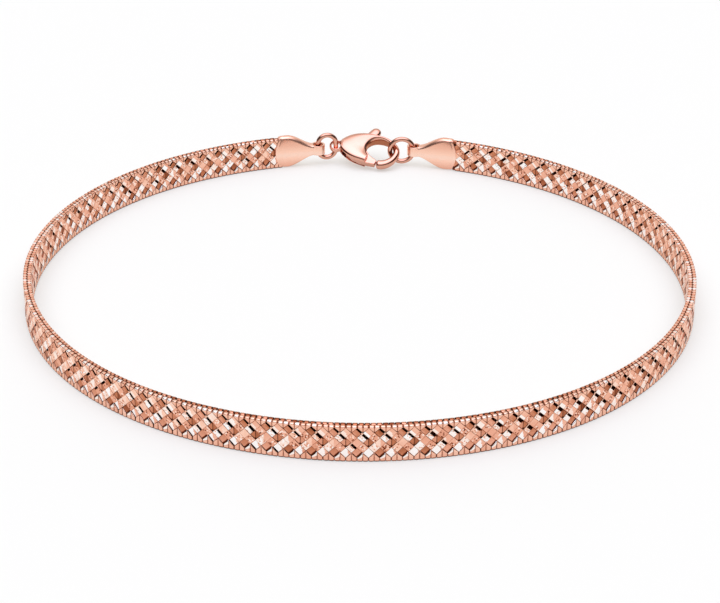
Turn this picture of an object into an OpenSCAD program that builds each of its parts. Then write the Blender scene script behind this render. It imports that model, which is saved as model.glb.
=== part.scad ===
// Woven mesh anklet, closed with a lobster-claw clasp and standing on its edge.
// The origin is the middle of the hoop on the surface it stands on. The clasp lies at +Y.

/* [Hoop] */
// Length of the closed loop, measured along the middle of the band
loop_length = 254; // [220:1:280]
// Height of the woven band
band_w = 4.3; // [3.8:0.1:4.6]
// Thickness of the woven band, two mesh layers back to back
band_t = 1.0; // [1:0.05:1.1]
// Rounding of the band's long edges
band_edge_r = 0.3; // [0.1:0.05:0.4]

/* [End caps] */
// Height of a cap at its wide end
cap_h = 4.6; // [4.6:0.1:4.8]
// Thickness of a cap in its middle
cap_t = 1.5; // [1.5:0.05:1.7]
// Height of a cap's neck
cap_neck_h = 1.44; // [1.4:0.02:1.6]
// Length of a cap from the middle of its loop to the end of its arc
cap_len = 6.17; // [6:0.01:6.4]
// Depth of the arc at a cap's wide end
cap_bulge = 0.72; // [0.6:0.02:0.8]
// Outer radius of a cap's loop
loop_r = 0.98; // [0.95:0.01:1]
// Radius of the hole in a cap's loop
loop_hole_r = 0.67; // [0.66:0.01:0.68]
// Distance along the hoop from the middle of the closure to a loop's middle
loop_s = 6.78; // [6.7:0.01:6.9]

/* [Jump rings] */
// Radius of the jump rings' wire
wire_r = 0.34; // [0.3:0.01:0.35]
// Height of a jump ring between the middles of its wire
ring_h = 3.32; // [3.2:0.01:3.4]
// Width of the left ring between the middles of its wire
left_ring_w = 2.55; // [2.5:0.01:2.6]

/* [Clasp] */
// Full thickness of the clasp
clasp_t = 2.0; // [1.9:0.05:2.1]
// Width of the channel that the lever moves in
channel_w = 1.0; // [0.9:0.05:1.1]
// Thickness of the lever
lever_t = 0.88; // [0.8:0.02:0.88]
// Radius of the hidden pin
pin_r = 0.3; // [0.25:0.01:0.32]
// Radial clearance round the pin
pin_gap = 0.04; // [0.02:0.01:0.08]
// Lean of the clasp, from lying flat
clasp_lean = 32; // [30:1:34]
// Dip of the clasp's hook end in its own plane
clasp_dip = 6; // [4:1:8]

/* [Hidden] */
$fn = 64;
eps = 0.01;
gold = [0.86, 0.58, 0.46];
bright_gold = [0.93, 0.70, 0.58];

hoop_r = loop_length / (2 * PI);
degrees_per_mm = 180 / (PI * hoop_r);
seat_gap = 0.05;

// The band's full section ends just past the caps' arcs. A pressed tongue goes on into each cap.
band_start_s = loop_s + cap_len + 1.6 * seat_gap;
tongue_t = 0.8;
tongue_h = 3.4;
shoulder_h = band_w - 0.1;
tongue_end_x = 3.85;
corner_x = cap_len - cap_bulge;

// A cap is straight, so its own X axis is a chord of the hoop.
cap_chord_s = 12.2;
cap_turn = (loop_s + cap_chord_s) / 2 * degrees_per_mm;
cap_mid_z = cap_h / 2;
neck_end_x = 0.4;
flat_start_x = 4.6;
cap_corner_r = 0.3;
crown_r = 13;
loop_h = 1.36;

// Height of the middle of each ring, and where the right one passes through the clasp's eye
left_ring_z = 2.58;
right_ring_z = 2.28;
hook_pass = [3.27, 0.29];

// The clasp's own frame has X along it, Y across it and Z out of its visible face.
clasp_at = [0, 39.75, 2.1];
eye = [1.95, 0.08];
eye_half_w = 1.9;
eye_half_h = 1.57;
eyelet_at = [-4.30, 0.3];
eyelet_mid_r = 0.76;
eyelet_wall = 0.34;
eyelet_t = 0.8;
tip_slot_t = 1.5;
cheek_edge_r = 0.42;
spine_w = 0.7;
face_crown = 0.09;
thin_tip_x = -4.1;
full_body_x = -3.3;
thin_tip_share = 0.8;
pivot = [-1.4, -0.9];
pin_len = channel_w + 0.6;

// Outer edge of the clasp round the middle of its eye, from the hook's end over the top and the
// tip to the cheeks' lower corner: angle, distance, and thickness as a share of clasp_t
ANGLE = 0;
REACH = 1;
SHARE = 2;
clasp_rim = [
    [-90, 2.86, 0.63],
    [-75, 2.89, 0.65],
    [-50, 2.82, 0.63],
    [-25, 2.76, 0.58],
    [0, 2.82, 0.55],
    [20, 2.72, 0.57],
    [40, 2.44, 0.66],
    [60, 2.27, 0.86],
    [80, 2.26, 0.96],
    [98, 2.40, 1.00],
    [114, 2.74, 1.00],
    [128, 3.30, 1.00],
    [141, 3.98, 1.00],
    [154, 4.80, 1.00],
    [165, 5.48, 1.00],
    [173, 5.92, 1.00],
    [179, 5.98, 1.00],
    [186, 5.52, 1.00],
    [196, 4.84, 1.00],
    [210, 3.98, 1.00],
    [222, 3.42, 1.00],
    [234, 3.08, 1.00]
];
rim_steps = 3;
corner_steps = 3;
rim_last = len(clasp_rim) - 1;
rim_sections = rim_last * rim_steps;

function smooth(t) = let (c = max(0, min(1, t))) c * c * (3 - 2 * c);

// A value of the rim table between rows i and i + 1, on a smooth curve through the rows
function slope(i, col) = let (
    a = max(i - 1, 0),
    b = min(i + 1, rim_last)
) (clasp_rim[b][col] - clasp_rim[a][col]) / (clasp_rim[b][ANGLE] - clasp_rim[a][ANGLE]);
function rim_at(place, col) = let (
    i = min(floor(place), rim_last - 1),
    t = place - i,
    span = clasp_rim[i + 1][ANGLE] - clasp_rim[i][ANGLE],
    start = clasp_rim[i][col],
    finish = clasp_rim[i + 1][col]
) start * (2 * t ^ 3 - 3 * t ^ 2 + 1) + finish * (3 * t ^ 2 - 2 * t ^ 3)
    + span * (slope(i, col) * (t ^ 3 - 2 * t ^ 2 + t) + slope(i + 1, col) * (t ^ 3 - t ^ 2));
function rim_angle(place) = let (i = min(floor(place), rim_last - 1))
    clasp_rim[i][ANGLE] + (place - i) * (clasp_rim[i + 1][ANGLE] - clasp_rim[i][ANGLE]);
function eye_reach(angle) = 1 / sqrt((cos(angle) / eye_half_w) ^ 2 + (sin(angle) / eye_half_h) ^ 2);

// Section of the clasp at one place of the rim: a rounded rectangle from the eye to the outer edge
function body_thinning(x) = thin_tip_share
    + (1 - thin_tip_share) * smooth((x - thin_tip_x) / (full_body_x - thin_tip_x));
function section_2d(half_w, half_t, r) = [
    for (quarter = [0:3], step = [0:corner_steps])
        let (
            a = 90 * quarter + 90 * step / corner_steps,
            side_x = (quarter == 0 || quarter == 3) ? 1 : -1,
            side_z = (quarter < 2) ? 1 : -1
        ) [side_x * (half_w - r) + r * cos(a), side_z * (half_t - r) + r * sin(a)]
];
function clasp_section(place, shrink = 1) = let (
    angle = rim_angle(place),
    inner = eye_reach(angle),
    outer = rim_at(place, REACH),
    half_w = (outer - inner) / 2,
    share = rim_at(place, SHARE),
    half_t = share * clasp_t / 2,
    r = min(cheek_edge_r + 0.6 * (1 - share), half_w * 0.96, half_t * 0.96)
) [
    for (p = section_2d(half_w, half_t, r))
        let (
            reach = inner + half_w + p.x * shrink,
            x = eye.x + reach * cos(angle),
            y = eye.y + reach * sin(angle),
            crown = 1 - face_crown * (p.x / half_w) ^ 2
        ) [x, y, p.y * shrink * crown * body_thinning(x)]
];

// The cap's outline: the neck widens on a smooth curve to the flat run, and an arc ends it
arc_r = ((cap_h / 2) ^ 2 + cap_bulge ^ 2) / (2 * cap_bulge);
arc_angle = asin((cap_h / 2 - cap_corner_r) / arc_r);
function cap_half_h(x) = cap_neck_h / 2
    + (cap_h - cap_neck_h) / 2 * smooth((x - neck_end_x) / (flat_start_x - neck_end_x));
curve_steps = 12;
arc_steps = 10;
cap_edge = concat(
    [[0, cap_neck_h / 2]],
    [for (i = [0:curve_steps]) let (x = neck_end_x + (flat_start_x - neck_end_x) * i / curve_steps)
        [x, cap_half_h(x)]],
    [[corner_x - 0.25, cap_h / 2], [corner_x - 0.05, cap_h / 2 - 0.08]],
    [for (i = [arc_steps:-1:0]) let (a = arc_angle * i / arc_steps)
        [cap_len - arc_r + arc_r * cos(a), arc_r * sin(a)]]
);
function flip_y(points) = [for (i = [len(points) - 2:-1:0]) [points[i].x, -points[i].y]];

// Places a child that is drawn round a point of the hoop, s millimetres from the closure's middle
module on_hoop(s, turn_angle, z) {
    a = s * degrees_per_mm;
    translate([hoop_r * sin(a), hoop_r * cos(a), z])
        rotate([0, 0, -turn_angle])
            children();
}

module in_clasp_frame() {
    translate(clasp_at)
        rotate([clasp_lean, 0, 0])
            rotate([0, 0, -clasp_dip])
                children();
}

module band_profile() {
    r = band_edge_r;
    translate([hoop_r - band_t / 2, r])
        square([band_t, band_w - 2 * r]);
    translate([hoop_r - band_t / 2 + r, 0])
        square([band_t - 2 * r, band_w]);
    for (x = [hoop_r - band_t / 2 + r, hoop_r + band_t / 2 - r], z = [r, band_w - r])
        translate([x, z])
            circle(r);
}

// One pressed end, from inside the cap to where the band's full section has begun
module band_tongue() {
    x_end = cap_len + 0.6;
    translate([tongue_end_x, -tongue_t / 2, band_w / 2 - tongue_h / 2])
        cube([x_end - tongue_end_x, tongue_t, tongue_h]);
    translate([corner_x + seat_gap, -tongue_t / 2, band_w / 2 - shoulder_h / 2])
        cube([x_end - corner_x - seat_gap, tongue_t, shoulder_h]);
}

module mesh_band() {
    start = band_start_s * degrees_per_mm;
    color(gold) {
        rotate([0, 0, 90 + start])
            rotate_extrude(angle = 360 - 2 * start, $fn = 360)
                band_profile();
        for (side = [0, 1])
            mirror([side, 0, 0])
                on_hoop(loop_s, cap_turn, 0)
                    band_tongue();
    }
}

module end_cap() {
    slot_t = tongue_t + 2 * seat_gap;
    pocket_h = tongue_h + 2 * seat_gap;
    band_mid = band_w / 2 - cap_mid_z;
    color(bright_gold)
        difference() {
            union() {
                intersection() {
                    rotate([90, 0, 0])
                        linear_extrude(height = 2 * cap_t, center = true)
                            polygon(concat(cap_edge, flip_y(cap_edge)));
                    for_crown();
                }
                cylinder(h = loop_h, r = loop_r, center = true);
            }
            cylinder(h = cap_h, r = loop_hole_r, center = true);
            translate([tongue_end_x - seat_gap, -slot_t / 2, band_mid - pocket_h / 2])
                cube([cap_len, slot_t, pocket_h]);
            translate([corner_x, -slot_t / 2, -cap_h])
                cube([cap_len, slot_t, 2 * cap_h]);
        }
}

// Two large crossing cylinders give both faces of a cap their crown
module for_crown() {
    intersection_for(side = [-1, 1])
        translate([-2, side * (crown_r - cap_t / 2), 0])
            rotate([0, 90, 0])
                cylinder(h = cap_len + 4, r = crown_r, $fn = 360);
}

module end_cap_right() {
    on_hoop(loop_s, cap_turn, cap_mid_z)
        end_cap();
}

module end_cap_left() {
    mirror([1, 0, 0])
        end_cap_right();
}

// A closed ring of round wire: two half circles with straight runs between them, in the XZ plane
module jump_ring(width, height) {
    bend_r = width / 2;
    run = height - width;
    rotate([90, 0, 0]) {
        for (side = [0, 180])
            rotate([0, 0, side])
                translate([0, run / 2, 0])
                    rotate_extrude(angle = 180)
                        translate([bend_r, 0])
                            circle(wire_r);
        if (run > eps)
            for (x = [-bend_r, bend_r])
                translate([x, 0, 0])
                    rotate([90, 0, 0])
                        cylinder(h = run, r = wire_r, center = true);
    }
}

// Middle of a point of the clasp's own frame in the anklet's frame
function from_clasp(p) = let (
    turned = [p.x * cos(clasp_dip) + p.y * sin(clasp_dip), p.y * cos(clasp_dip) - p.x * sin(clasp_dip)]
) clasp_at + [turned.x, turned.y * cos(clasp_lean), turned.y * sin(clasp_lean)];

// Each ring hangs between the middle of a cap's loop and the place where it passes the clasp
module hang_ring(side, clasp_point, width, z) {
    a = loop_s * degrees_per_mm;
    loop_mid = [side * hoop_r * sin(a), hoop_r * cos(a)];
    far = from_clasp(clasp_point);
    turn = atan((far.y - loop_mid.y) / (far.x - loop_mid.x));
    translate([(far.x + loop_mid.x) / 2, (far.y + loop_mid.y) / 2, z])
        rotate([0, 0, turn])
            jump_ring(width, ring_h);
}

module jump_ring_left() {
    color(bright_gold)
        hang_ring(-1, eyelet_at, left_ring_w, left_ring_z);
}

module jump_ring_right() {
    color(bright_gold)
        hang_ring(1, hook_pass, ring_h, right_ring_z);
}

// The clasp's body before its channel is cut: one smooth ring of metal round the eye
module clasp_blank() {
    tip_rounding = [[0.72, -0.16], [0.90, -0.08]];
    sections = concat(
        [for (t = tip_rounding) clasp_section(0, t[0])],
        [for (i = [0:rim_sections]) clasp_section(i / rim_steps)]
    );
    tip_count = len(tip_rounding);
    moved = [
        for (i = [0:len(sections) - 1])
            let (
                back = i < tip_count ? tip_rounding[i][1] : 0,
                a = clasp_rim[0][ANGLE]
            ) [for (p = sections[i]) p + back * [-sin(a), cos(a), 0]]
    ];
    n = 4 * (corner_steps + 1);
    last = len(moved) - 1;
    points = [for (s = moved, p = s) p];
    sides = [
        for (i = [0:last - 1], j = [0:n - 1], half = [0, 1])
            let (k = (j + 1) % n)
            half == 0 ? [i * n + j, i * n + k, (i + 1) * n + k]
                      : [i * n + j, (i + 1) * n + k, (i + 1) * n + j]
    ];
    ends = [[for (j = [n - 1:-1:0]) j], [for (j = [0:n - 1]) last * n + j]];
    polyhedron(points = points, faces = concat(sides, ends), convexity = 6);
}

// The channel between the cheeks: open below and into the lower half of the eye, closed by the
// wall round the upper half of the eye and by the spine
eye_wall = 0.36;
channel_start = 10.5;
channel_end = 15.5;
channel_step = 0.5;
channel_outline = concat(
    [[1.3, -4], [1.3, -0.6], [0.4, 0.02]],
    [for (angle = [170:-12:122])
        let (reach = eye_reach(angle) + eye_wall)
        eye + reach * [cos(angle), sin(angle)]],
    [for (place = [channel_start:channel_step:channel_end])
        let (
            angle = rim_angle(place),
            reach = rim_at(place, REACH) - spine_w
        ) eye + reach * [cos(angle), sin(angle)]],
    [[-3.02, 0.05], [-3.40, -0.30], [-4.3, -0.8], [-4.3, -4]]
);

// The cheeks end beside the gate, on a line that runs down from the eye
cheek_end_outline = [[0.46, -0.72], [0.34, -1.45], [0.10, -2.10], [-0.08, -2.90], [1.6, -2.90], [1.6, -0.72]];

module plate(thickness) {
    linear_extrude(height = thickness, center = true)
        children();
}

// Slice seen from the pivot that the thumb tab sweeps through the spine
slit_from = 47;
slit_to = 94;
slit_steps = 6;
slit_near = 2.4;
slit_far = 6;
module tab_slit() {
    angles = [for (i = [0:slit_steps]) slit_from + (slit_to - slit_from) * i / slit_steps];
    polygon(concat(
        [for (a = angles) pivot + slit_near * [cos(a), sin(a)]],
        [for (i = [slit_steps:-1:0]) pivot + slit_far * [cos(angles[i]), sin(angles[i])]]
    ));
}

// The loop at the clasp's tip. Its wall is rounded, which leaves room for a ring that crosses it
// at the clasp's lean.
module clasp_eyelet() {
    rotate_extrude()
        translate([eyelet_mid_r, 0])
            scale([eyelet_wall / eyelet_t, 1])
                circle(d = eyelet_t, $fn = 16);
}

module clasp_body() {
    color(bright_gold)
        in_clasp_frame()
            difference() {
                union() {
                    difference() {
                        clasp_blank();
                        translate([eyelet_at.x, eyelet_at.y, 0])
                            cylinder(h = tip_slot_t, r = eyelet_mid_r, center = true);
                    }
                    translate([eyelet_at.x, eyelet_at.y, 0])
                        clasp_eyelet();
                }
                plate(channel_w)
                    polygon(channel_outline);
                plate(channel_w)
                    tab_slit();
                plate(2 * clasp_t)
                    polygon(cheek_end_outline);
                translate([pivot.x, pivot.y, 0])
                    cylinder(h = pin_len + 2 * pin_gap, r = pin_r + pin_gap, center = true);
            }
}

// The lever in the closed pose, from its tail along the lower edge to the gate's end, which is
// an arc round the pivot, then up the side of the eye and round the thumb tab
gate_r = 3.22;
lever_outline = concat(
    [[-2.72, -0.92], [-1.85, -1.60], [-0.70, -2.10], [0.40, -2.30], [1.40, -2.40]],
    [for (a = [-27:3:-13]) pivot + gate_r * [cos(a), sin(a)]],
    [[1.55, -1.58], [1.10, -1.32], [0.55, -0.84], [0.24, -0.36], [-0.05, -0.10], [-0.35, 0.30]],
    [[-0.42, 0.90], [-0.15, 1.38], [0.40, 1.86], [1.05, 2.35], [1.46, 2.90], [1.66, 3.50]],
    [[1.55, 3.80], [1.25, 3.98], [0.82, 3.99], [0.50, 3.84], [0.25, 3.46], [0.02, 2.80]],
    [[-0.50, 1.95], [-1.20, 1.10], [-2.00, 0.55], [-2.55, -0.10]]
);

module clasp_lever() {
    color(bright_gold)
        in_clasp_frame()
            difference() {
                plate(lever_t)
                    polygon(lever_outline);
                translate([pivot.x, pivot.y, 0])
                    cylinder(h = 2 * lever_t, r = pin_r + pin_gap, center = true);
            }
}

module clasp_pin() {
    color(gold)
        in_clasp_frame()
            translate([pivot.x, pivot.y, 0])
                cylinder(h = pin_len, r = pin_r, center = true);
}

mesh_band();
end_cap_left();
end_cap_right();
jump_ring_left();
jump_ring_right();
clasp_body();
clasp_lever();
clasp_pin();
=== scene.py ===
# %% [markdown]
# A woven mesh anklet in rose gold. The real one is a flat band of two woven metal layers, back to
# back, closed by two spade-shaped caps, two jump rings and a lobster clasp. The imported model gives
# every size and place. This script only dresses it, so each piece is built in the same frame.

import math

import bpy
import numpy as np
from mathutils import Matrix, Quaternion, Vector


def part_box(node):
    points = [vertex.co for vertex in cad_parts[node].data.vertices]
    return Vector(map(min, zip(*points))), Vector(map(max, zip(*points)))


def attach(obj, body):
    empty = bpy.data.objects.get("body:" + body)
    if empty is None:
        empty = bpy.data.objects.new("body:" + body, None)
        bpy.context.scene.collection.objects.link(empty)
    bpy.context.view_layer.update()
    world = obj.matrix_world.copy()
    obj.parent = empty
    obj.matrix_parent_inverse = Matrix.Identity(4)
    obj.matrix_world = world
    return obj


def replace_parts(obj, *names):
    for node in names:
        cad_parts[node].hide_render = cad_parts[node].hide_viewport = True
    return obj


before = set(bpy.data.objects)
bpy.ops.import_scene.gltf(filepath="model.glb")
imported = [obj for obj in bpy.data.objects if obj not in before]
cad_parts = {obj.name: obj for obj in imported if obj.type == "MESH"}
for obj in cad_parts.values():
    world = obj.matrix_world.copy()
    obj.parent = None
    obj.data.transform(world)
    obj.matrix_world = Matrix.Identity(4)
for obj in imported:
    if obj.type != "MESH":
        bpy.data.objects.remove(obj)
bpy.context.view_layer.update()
MM = 0.001
band_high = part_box("mesh_band")[1]
band_w = band_high.z / MM
band_t = 1.0
hoop_r = band_high.x / MM - band_t / 2
rng = np.random.default_rng(17)
print("hoop radius", round(hoop_r, 3), "mm, band", round(band_w, 2), "mm high")

# %% [markdown]
# The camera looks down at the hoop from 26 degrees through a long lens, as a catalogue picture
# does to keep the circle calm. Sines and cosines say exactly where it stands, and leave nothing
# that another view would have to undo, as a constraint would.

# %% The camera
camera_distance = 253.4
camera_azimuth = math.radians(1.03)
camera_elevation = math.radians(26.41)
look_azimuth = math.radians(1.017)
look_down = math.radians(26.729)
camera_roll = math.radians(0.492)
camera_data = bpy.data.cameras.new("camera")
camera_data.lens = 102.48
camera = bpy.data.objects.new("camera", camera_data)
level = camera_distance * MM * math.cos(camera_elevation)
camera.location = (
    level * math.sin(camera_azimuth),
    -level * math.cos(camera_azimuth),
    camera_distance * MM * math.sin(camera_elevation),
)
turned = Quaternion((0, 0, 1), look_azimuth) @ Quaternion((1, 0, 0), math.pi / 2 - look_down)
camera.rotation_mode = "QUATERNION"
camera.rotation_quaternion = turned @ Quaternion((0, 0, 1), camera_roll)
bpy.context.scene.collection.objects.link(camera)
bpy.context.scene.camera = camera
bpy.context.scene.view_settings.view_transform = "Standard"
print("camera at", [round(c / MM, 1) for c in camera.location], "mm")

# %% [markdown]
# Shader maths reads best as ordinary expressions. The class below wraps one socket of a node
# tree: adding or multiplying it adds a Math node, and one method makes any other node.

# %% A socket that does maths
class Shade:
    """One socket of a node tree, or the tree alone when it has no socket yet."""

    def __init__(self, tree, socket=None):
        self.tree = tree
        self.socket = socket

    def node(self, kind, settings=None, sockets=None, output=0):
        """Adds a node: first its settings, then the values or links of its sockets."""
        made = self.tree.nodes.new(kind)
        for key, value in (settings or {}).items():
            if key == "stops":
                ramp = made.color_ramp
                for place, colour in value:
                    ramp.elements.new(place).color = (*colour, 1)
                ramp.elements.remove(ramp.elements[0])
                ramp.elements.remove(ramp.elements[-1])
            else:
                setattr(made, key, value)
        for key, value in (sockets or {}).items():
            if isinstance(value, Shade):
                self.tree.links.new(value.socket, made.inputs[key])
            else:
                made.inputs[key].default_value = value
        return Shade(self.tree, made.outputs[output] if len(made.outputs) else None)

    def also(self, output):
        """Another output of the node that this socket belongs to."""
        return Shade(self.tree, self.socket.node.outputs[output])

    def maths(self, operation, first, second):
        return self.node("ShaderNodeMath", {"operation": operation}, {0: first, 1: second})

    def between(self, low, high):
        """0 below low, 1 above high, and a smooth step from one to the other."""
        sockets = {"Value": self, "From Min": low, "From Max": high}
        return self.node("ShaderNodeMapRange", {"interpolation_type": "SMOOTHSTEP"}, sockets)

    def __add__(self, other):
        return self.maths("ADD", self, other)

    def __sub__(self, other):
        return self.maths("SUBTRACT", self, other)

    def __rsub__(self, other):
        return self.maths("SUBTRACT", other, self)

    def __mul__(self, other):
        return self.maths("MULTIPLY", self, other)

    def __abs__(self):
        return self.node("ShaderNodeMath", {"operation": "ABSOLUTE"}, {0: self})

    __radd__ = __add__
    __rmul__ = __mul__


print("shader maths ready")

# %% [markdown]
# Every metal here is the same alloy with another finish. Rose gold tints what it reflects, so its
# colour is set on Base Color with Metallic at 1. Plain metal turns white where it is seen at a
# glancing angle, and Specular Tint keeps it rosy there too. Noise at a fraction of a millimetre
# gives the rub marks and the faint unevenness of rolled strip. A thin clear coat adds an untinted
# sheen: bright highlights on real polished gold look nearly white, and the tint alone would turn
# them yellow.

# %% The metals
glancing_tint = (1.0, 0.85, 0.76, 1.0)
roughness_spread = 0.12
tone_colours = [
    (0.00, (0.010, 0.002, 0.001)),
    (0.15, (0.19, 0.035, 0.009)),
    (0.35, (0.54, 0.19, 0.095)),
    (0.55, (0.84, 0.40, 0.27)),
    (0.75, (0.98, 0.61, 0.46)),
    (0.90, (1.00, 0.87, 0.79)),
    (1.00, (1.00, 1.00, 1.00)),
]


def metal(name, roughness, grain_mm, grain_depth_mm, middle=None, spread=0.1, coat=0.0, painted_sheen=None):
    """Rose gold. Its tone comes from the faces, unless middle gives it one tone for all. The painted sheen
    makes it lighter round one height: that height, the reach above and below in mm, and how much."""
    material = bpy.data.materials.new(name)
    material.use_nodes = True
    tree = material.node_tree
    tree.nodes.clear()
    start = Shade(tree)
    place = start.node("ShaderNodeTexCoord", output="Object")
    noise = {"Vector": place, "Scale": 1 / (grain_mm * MM), "Detail": 3.0, "Roughness": 0.6}
    grain = start.node("ShaderNodeTexNoise", None, noise)
    tone = middle
    if middle is None:
        tone = start.node("ShaderNodeAttribute", {"attribute_name": "tone"}, output="Fac")
    tone = tone + spread * (grain - 0.5)
    # Painted sheen: a band of lighter tone round one height, standing in for a reflection.
    if painted_sheen:
        sheen_height, sheen_reach, sheen_gain = painted_sheen
        height = start.node("ShaderNodeSeparateXYZ", None, {0: place}, output="Z")
        away = abs(height - sheen_height * MM).between(0.0, sheen_reach * MM)
        tone = tone + sheen_gain * (1.0 - away)
    relief = {"Strength": 1.0, "Distance": grain_depth_mm * MM, "Height": grain}
    surface = {
        "Base Color": start.node("ShaderNodeValToRGB", {"stops": tone_colours}, {0: tone}),
        "Metallic": 1.0,
        "Specular Tint": glancing_tint,
        "Roughness": roughness + roughness_spread * (grain - 0.5),
        "Coat Weight": coat,
        "Coat Roughness": 0.04,
        "Coat IOR": 2.0,
        "Normal": start.node("ShaderNodeBump", None, relief),
    }
    shader = start.node("ShaderNodeBsdfPrincipled", None, surface)
    start.node("ShaderNodeOutputMaterial", None, {"Surface": shader})
    return material


# Painted sheen: the polished pieces are painted lighter round 2.4 mm up.
polished = metal(
    "polished_rose_gold", 0.12, 0.6, 0.001, middle=0.40, spread=0.04, coat=1.0, painted_sheen=(2.4, 1.9, 0.08)
)
# Painted shade: a darker copy of the polished metal, for the wall round the clasp's eye.
painted_eye_shade = metal("eye_wall_painted_shade", 0.2, 0.6, 0.001, middle=0.29, spread=0.04, coat=0.1)
# Painted sheen: the caps are painted lighter round 1.9 mm up.
sheet = metal("polished_sheet", 0.22, 0.5, 0.001, middle=0.60, spread=0.05, coat=0.3, painted_sheen=(1.9, 1.8, 0.18))
# The strip's tones carry the painted highlights and painted shade of the weave.
strip = metal("rolled_strip", 0.16, 0.2, 0.004)
inside = metal("shaded_inside", 0.5, 0.3, 0.004, spread=0.04)
print(len(bpy.data.materials), "metals")

# %% [markdown]
# The weave on the real anklet is flat strip, 0.86 mm wide, laid on both diagonals. The strips cut each face
# into diamond-shaped places on a lattice: four columns to a pattern repeat, seven rows from edge to edge. A
# texture could fake them, but each facet tilts and flashes on its own, so each is a small plate of real
# metal. A plate is a bevelled, closed block with a grid on top. Each of its faces has a number, its tone,
# which holds painted light as well as the metal's own tone: 0 is the black of a gap, painted shade, and 1 a
# painted highlight, the white flash of a diamond cut.

# %% Small plates, collected into one mesh
class Plates:
    """Plates in lattice form: column, height in mm, and depth in mm out of the band's middle."""

    def __init__(self):
        self.points = []
        self.faces = []
        self.tones = []
        self.smooth = []
        self.count = 0

    def add(self, points, faces, top_tones, wall_tones, smooth_top):
        """The first faces are the top. Each has its own tone, and so have the walls after them."""
        self.points.append(points)
        self.faces += [[i + self.count for i in face] for face in faces]
        self.tones += list(top_tones) + list(wall_tones)
        self.smooth += [smooth_top] * len(top_tones) + [False] * len(wall_tones)
        self.count += len(points)


def grid_faces(columns, rows):
    """Faces of a grid whose points are listed column by column."""
    return [
        [i * rows + j, (i + 1) * rows + j, (i + 1) * rows + j + 1, i * rows + j + 1]
        for i in range(columns - 1)
        for j in range(rows - 1)
    ]


def tube_faces(sections, n, closed, flip=False):
    """Faces between sections of n points each, which close round a tube or a ring."""
    faces = []
    for i in range(sections if closed else sections - 1):
        here, there = i * n, (i + 1) % sections * n
        for j in range(n):
            k = (j + 1) % n
            face = [here + j, there + j, there + k, here + k]
            faces.append(face[:1] + face[:0:-1] if flip else face)
    return faces


print("plates are collected by column and row")

# %% [markdown]
# Mesh of this kind is springy, so its pattern isn't even all round: the repeats are tightest at
# the front of the hoop and up to a sixth longer at its sides. Two short formulas say where a
# column falls. Both faces carry the same lattice, so the inner one is the outer one turned round,
# not mirrored. The angles below are in degrees.

# %% The lattice
per_repeat = 4
front_repeat = 3.39
repeat_growth = 0.0008
even_after = 15
front_column = -7
inner_first = 26.0
inner_column = 2
inner_repeat = 3.90
inner_shrink = -0.001577
column_limit = 450
row_mm = 0.605
pattern_z = 2.32
weave_end = 12.5 / hoop_r
base_depth = 0.12


def hoop_angle(column, facing):
    """Angle in radians from the closure, clockwise from above. Facing is 1 outside, -1 inside."""
    if facing > 0:
        n = (np.asarray(column) - front_column) / per_repeat
        near = np.clip(abs(n), 0, even_after)
        side_repeat = front_repeat + 3 * repeat_growth * even_after ** 2
        from_front = front_repeat * near + repeat_growth * near ** 3 + side_repeat * (abs(n) - near)
        return np.radians(180 - np.sign(n) * from_front)
    n = (np.asarray(column) - inner_column) / per_repeat
    growth = inner_repeat / inner_shrink * (np.exp(inner_shrink * n) - 1)
    return np.radians(inner_first + growth)


def on_hoop(points, facing):
    """Points of the lattice in the anklet's frame, in mm."""
    angle = hoop_angle(points[:, 0], facing)
    radius = hoop_r + facing * points[:, 2]
    return np.stack([radius * np.sin(angle), radius * np.cos(angle), points[:, 1]], 1)


def columns_shown(facing):
    """Whole columns whose place lies on the band between the two caps."""
    return [
        column
        for column in range(-column_limit, column_limit)
        if weave_end < hoop_angle(column, facing) < 2 * math.pi - weave_end
    ]


print(len(columns_shown(1)), "columns outside and", len(columns_shown(-1)), "inside")

# %% [markdown]
# One diamond place holds one plate. Its u runs down along one set of strips and its v runs up
# along the other, so a strip's dip or a facet's tilt is a short formula of u and v.

# %% One diamond place
bevel_share = 0.06
bevel_drop = 0.006
rim_shade = 0.06
sunk_rim_shade = 0.28
raised_depth = 0.43
# Painted shade: the walls of the plates are dark, and black where a gap lays one bare.
wall_shade = 0.3
gap_shade = 0.0
relief_marks = [0.0, 0.0, 0.5, -1.0]
UPPER_RIGHT = 2
UPPER_LEFT = 3


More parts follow.
